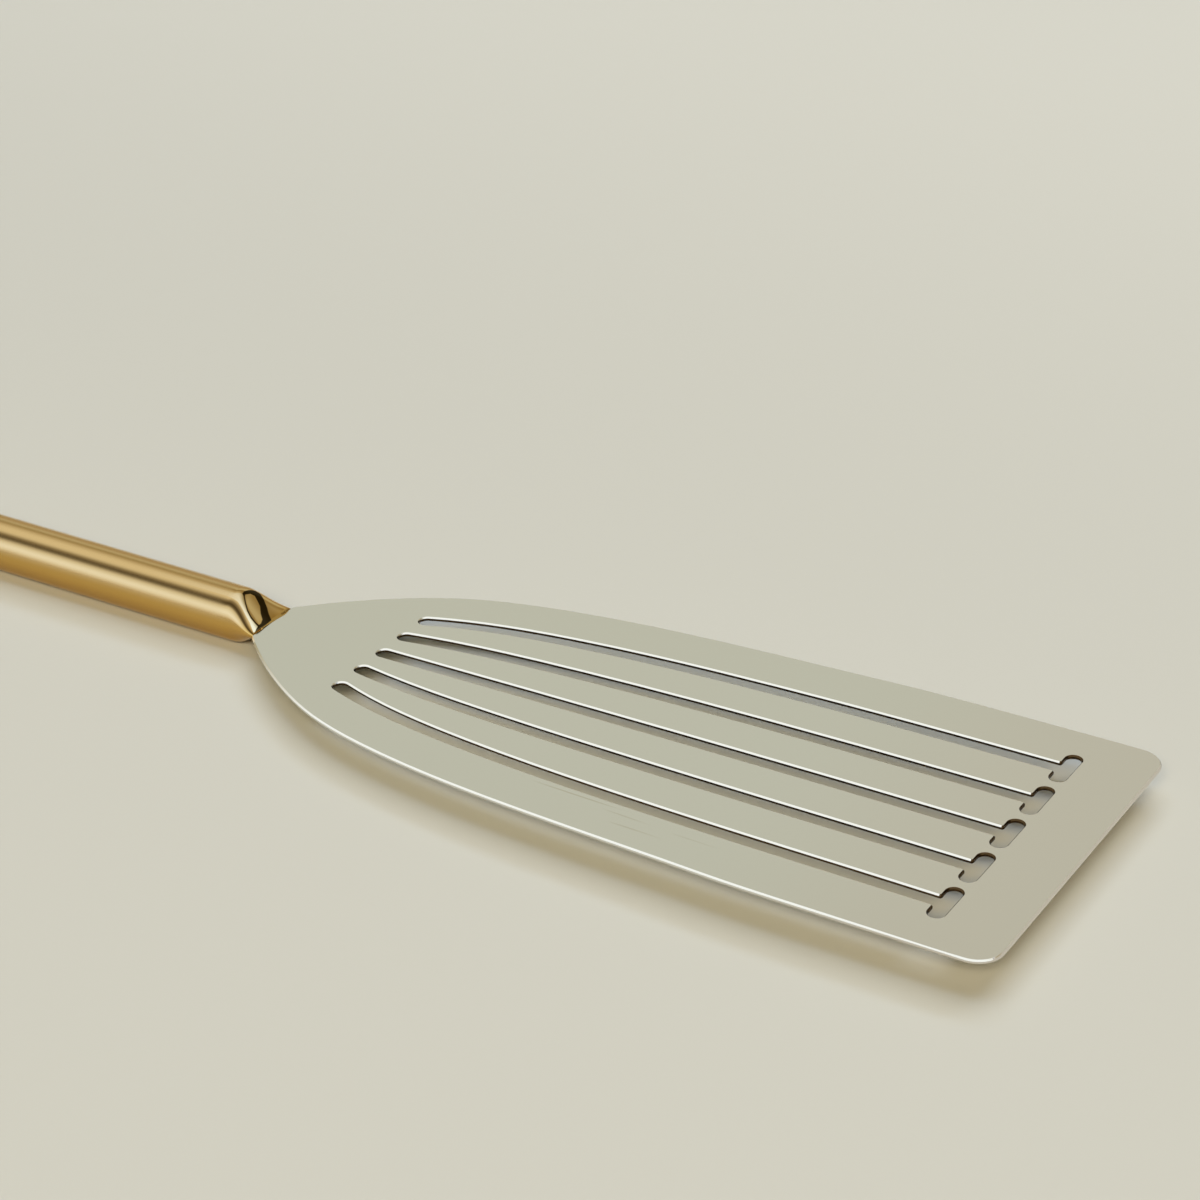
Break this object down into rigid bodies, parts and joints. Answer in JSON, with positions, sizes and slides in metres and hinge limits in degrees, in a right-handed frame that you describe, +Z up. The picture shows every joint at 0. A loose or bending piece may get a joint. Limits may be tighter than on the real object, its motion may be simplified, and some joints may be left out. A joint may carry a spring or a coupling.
{
  "type": "fish spatula",
  "caption": "Long slotted stainless turner blade held by its tang in the pressed mouth of a round brass handle with a hanging hole.",
  "frame": {"origin": "under the middle of the whole spatula, on the surface that the handle lies on", "axes": "+X from the handle's hanging end to the blade's tip, +Y to the left seen from the handle, +Z up"},
  "size_m": [0.4264, 0.0822, 0.012],
  "materials": {
    "polished_steel": "finely brushed stainless sheet, brighter on its rounded edges",
    "satin_brass": "pale satin brass, polished where the mouth is pressed"
  },
  "bodies": {
    "root": {"blade": "polished_steel", "handle_tube": "satin_brass"}
  },
  "joints": []
}
